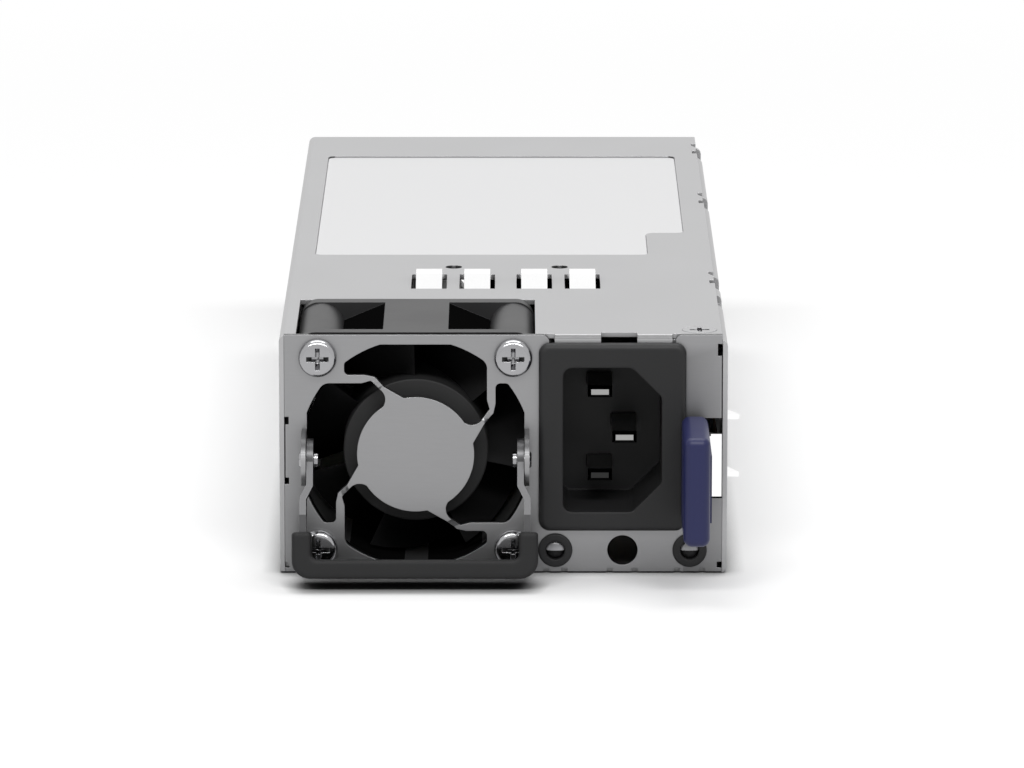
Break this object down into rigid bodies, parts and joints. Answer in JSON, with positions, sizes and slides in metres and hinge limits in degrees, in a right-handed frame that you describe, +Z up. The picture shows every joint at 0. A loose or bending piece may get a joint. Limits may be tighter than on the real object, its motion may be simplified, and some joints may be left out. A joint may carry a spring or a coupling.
{
  "type": "hot swap server power supply",
  "caption": "Slim sheet steel server power supply with fan grille, bail handle, mains inlet, sprung release latch and card edge.",
  "frame": {"origin": "centre of the housing's bottom face", "axes": "+Z up, +Y from the front panel to the card edge, +X to the latch side"},
  "size_m": [0.0758, 0.2147, 0.0417],
  "materials": {
    "sheet_steel": "satin zinc plated sheet",
    "panel_steel": "satin zinc plated sheet",
    "spring_steel": "bright",
    "screw_steel": "bright nickel",
    "black_plastic": "fine matt moulding",
    "fan_plastic": "satin moulding",
    "grip_plastic": "soft matt",
    "latch_blue": "soft satin, blue violet",
    "label_film": "matt film, bare",
    "clear_lens": "clear, glossy",
    "pin_brass": "nickel plated",
    "circuit_board": "solder resist",
    "gold_plate": "bright gold plating",
    "copper": "enamelled copper",
    "ferrite": "dull",
    "bare_aluminium": "milled",
    "case_yellow": "satin",
    "case_dark": "moulded epoxy",
    "sleeve_black": "shrink sleeve",
    "film_clear": "thin film",
    "magnet": "dull",
    "bearing_steel": "ground",
    "fuse_ceramic": "glazed"
  },
  "bodies": {
    "chassis": {"base_tray": "sheet_steel", "top_cover": "sheet_steel", "rating_label": "label_film", "rear_panel": "sheet_steel", "front_panel": "panel_steel", "fan_grille": "panel_steel", "handle_ears": "panel_steel", "cover_screw": "screw_steel", "emi_springs": "spring_steel", "fan_frame": "fan_plastic", "fan_bearings": "bearing_steel", "stator_core": "bearing_steel", "stator_coils": "copper", "fan_board": "circuit_board", "fan_screws": "screw_steel", "inlet_body": "black_plastic", "line_pin": "pin_brass", "earth_pin": "pin_brass", "neutral_pin": "pin_brass", "indicator_bezels": "black_plastic", "indicator_lenses": "clear_lens", "indicator_leds": "clear_lens", "handle_rivets": "screw_steel", "latch_leaf": "spring_steel", "latch_rivets": "screw_steel", "main_board": "circuit_board", "gold_contacts": "gold_plate", "board_standoffs": "bearing_steel", "board_screws": "screw_steel", "insulation_film": "film_clear", "fuse": "fuse_ceramic", "safety_capacitor": "case_yellow", "common_mode_choke": "copper", "relay": "case_dark", "primary_heatsink": "bare_aluminium", "bridge_rectifier": "case_dark", "pfc_choke": "copper", "bulk_capacitor": "sleeve_black", "transformer_core": "ferrite", "transformer_winding": "copper", "secondary_heatsink": "bare_aluminium", "sync_rectifiers": "case_dark", "output_capacitors": "bare_aluminium", "output_bus_bars": "copper", "control_board": "circuit_board", "control_connector": "black_plastic", "control_chips": "case_dark", "resonant_choke": "case_yellow", "standby_transformer": "case_yellow"},
    "handle": {"handle_strap": "spring_steel", "handle_grip": "grip_plastic"},
    "fan_rotor": {"fan_impeller": "fan_plastic", "rotor_yoke": "bearing_steel", "rotor_magnet": "magnet", "fan_shaft": "bearing_steel"},
    "latch": {"latch_arm": "spring_steel", "latch_tab": "latch_blue"}
  },
  "joints": [
    {"name": "handle_swing", "type": "hinge", "parent": "chassis", "child": "handle", "pos_m": [-0.0144, -0.0965, 0.02], "axis": [-1, 0, 0], "range_deg": [-12, 90]},
    {"name": "fan_spin", "type": "hinge", "parent": "chassis", "child": "fan_rotor", "pos_m": [-0.0144, -0.0775, 0.0202], "axis": [0, -1, 0], "continuous": true},
    {"name": "latch_press", "type": "hinge", "parent": "chassis", "child": "latch", "pos_m": [0.03542, -0.0305, 0.01825], "axis": [0, 0, -1], "range_deg": [0, 2.95], "stiffness_Nm_per_rad": 4}
  ]
}
